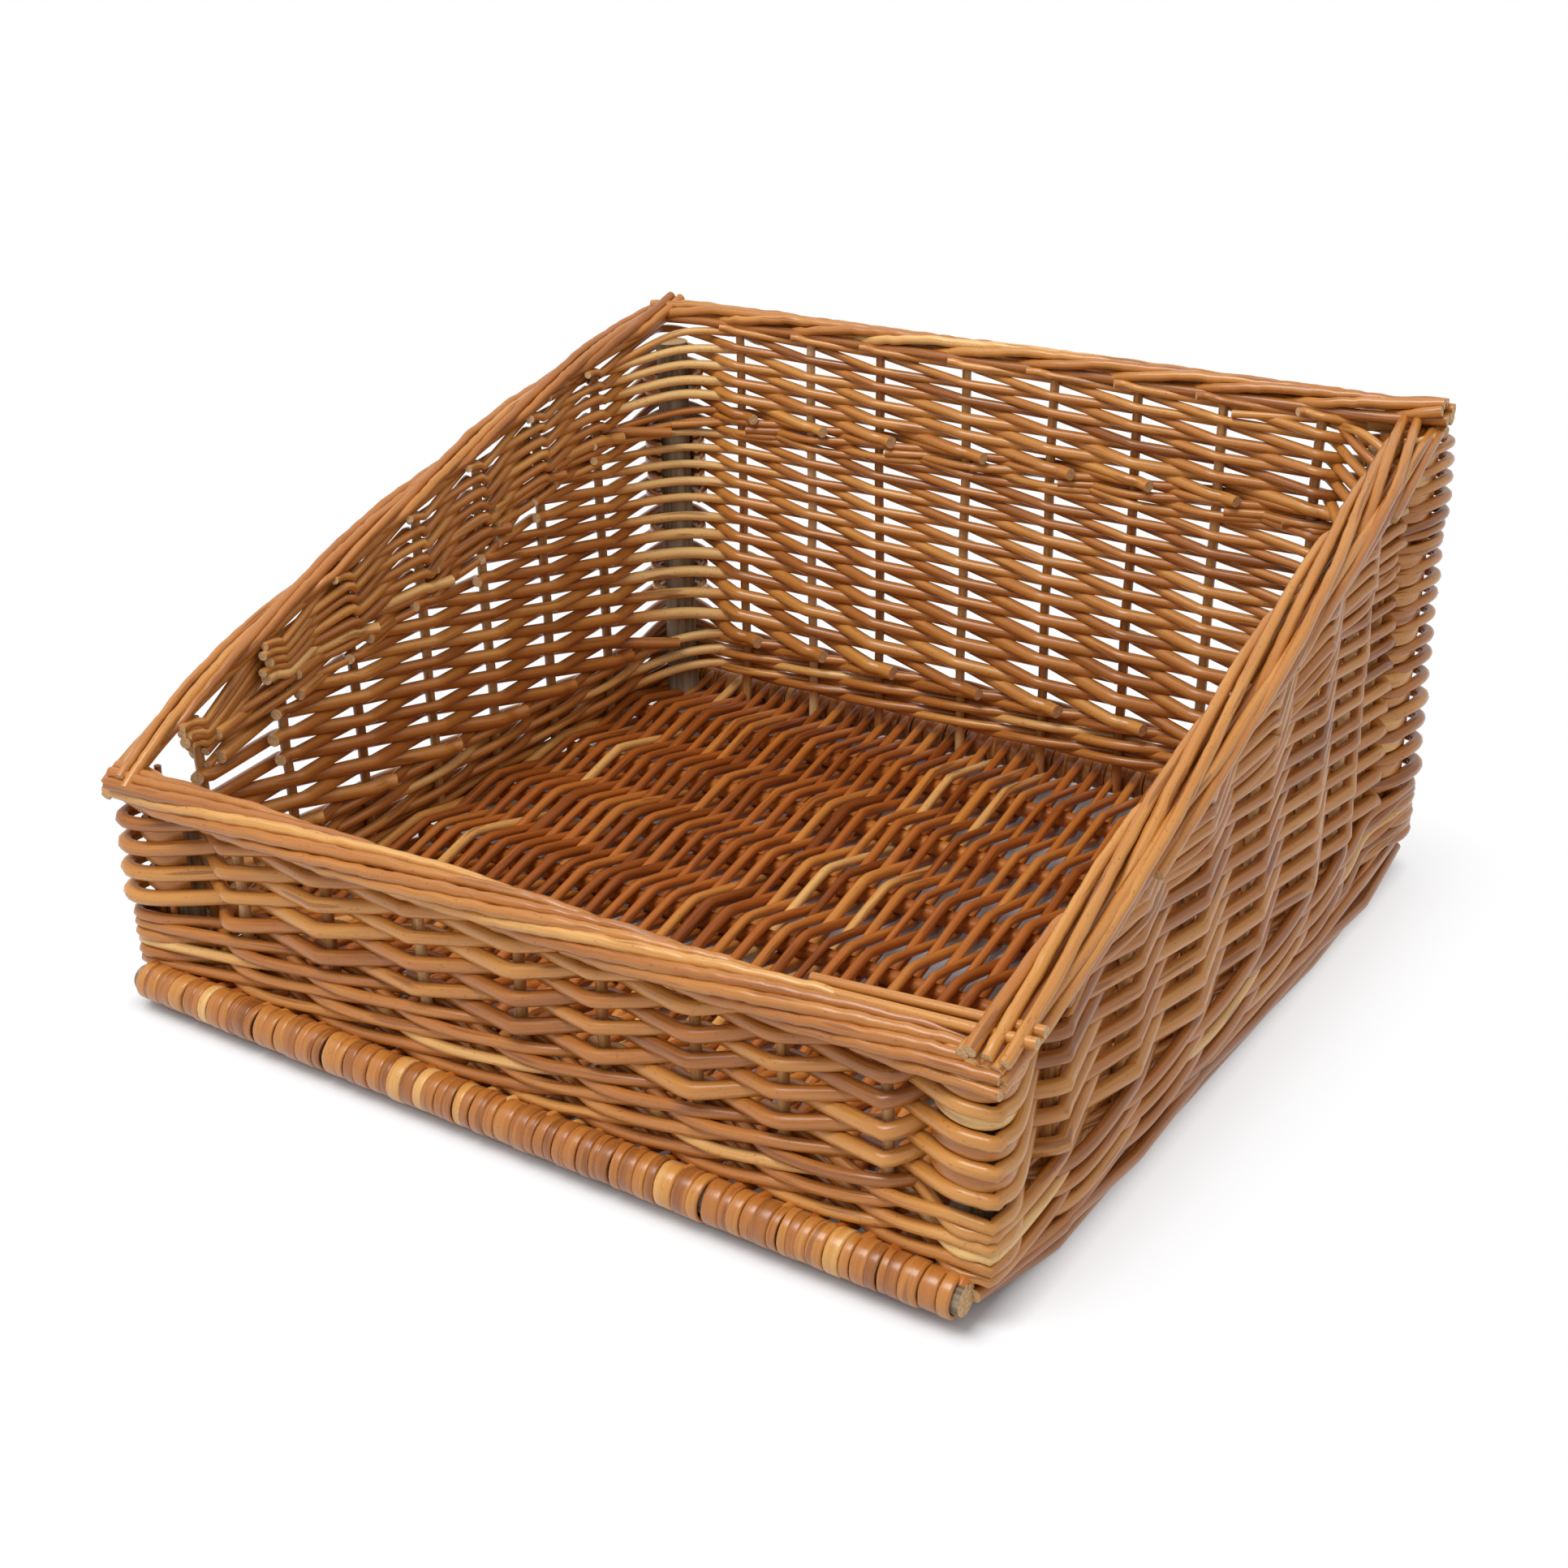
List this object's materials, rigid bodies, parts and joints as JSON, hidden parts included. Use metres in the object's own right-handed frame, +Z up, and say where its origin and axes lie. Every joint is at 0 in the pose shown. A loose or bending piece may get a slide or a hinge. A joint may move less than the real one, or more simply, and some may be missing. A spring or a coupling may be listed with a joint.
{
  "type": "shelf basket",
  "caption": "Square woven willow basket for a shelf, with a low front, a high back and sloping sides, open at the top so that goods can be seen and taken.",
  "frame": {"origin": "middle of the footprint, on the surface that the basket stands on", "axes": "+X left to right along the low front, +Y from front to back, +Z up"},
  "size_m": [0.4, 0.401, 0.215],
  "materials": {
    "willow": "satin buff willow",
    "stake_willow": "satin buff willow",
    "base_willow": "satin buff willow",
    "bark": "matt bark"
  },
  "bodies": {
    "root": {"rail_stick_front": "bark", "rail_wrap_front": "willow", "rail_stick_back": "bark", "rail_wrap_back": "willow", "base_stick_1": "base_willow", "base_stick_2": "base_willow", "base_stick_3": "base_willow", "base_stick_4": "base_willow", "base_stick_5": "base_willow", "base_stick_6": "base_willow", "base_weave": "base_willow", "corner_post_front_left": "bark", "corner_post_front_right": "bark", "corner_post_back_left": "bark", "corner_post_back_right": "bark", "stake_front_1": "stake_willow", "stake_front_2": "stake_willow", "stake_front_3": "stake_willow", "stake_front_4": "stake_willow", "stake_front_5": "stake_willow", "stake_front_6": "stake_willow", "stake_front_7": "stake_willow", "stake_front_8": "stake_willow", "upsett_front": "willow", "siding_front": "willow", "border_front": "willow", "stake_right_1": "stake_willow", "stake_right_2": "stake_willow", "stake_right_3": "stake_willow", "stake_right_4": "stake_willow", "stake_right_5": "stake_willow", "stake_right_6": "stake_willow", "stake_right_7": "stake_willow", "upsett_right": "willow", "siding_right": "willow", "border_right": "willow", "stake_back_1": "stake_willow", "stake_back_2": "stake_willow", "stake_back_3": "stake_willow", "stake_back_4": "stake_willow", "stake_back_5": "stake_willow", "stake_back_6": "stake_willow", "stake_back_7": "stake_willow", "stake_back_8": "stake_willow", "upsett_back": "willow", "siding_back": "willow", "border_back": "willow", "stake_left_1": "stake_willow", "stake_left_2": "stake_willow", "stake_left_3": "stake_willow", "stake_left_4": "stake_willow", "stake_left_5": "stake_willow", "stake_left_6": "stake_willow", "stake_left_7": "stake_willow", "upsett_left": "willow", "siding_left": "willow", "border_left": "willow"}
  },
  "joints": []
}
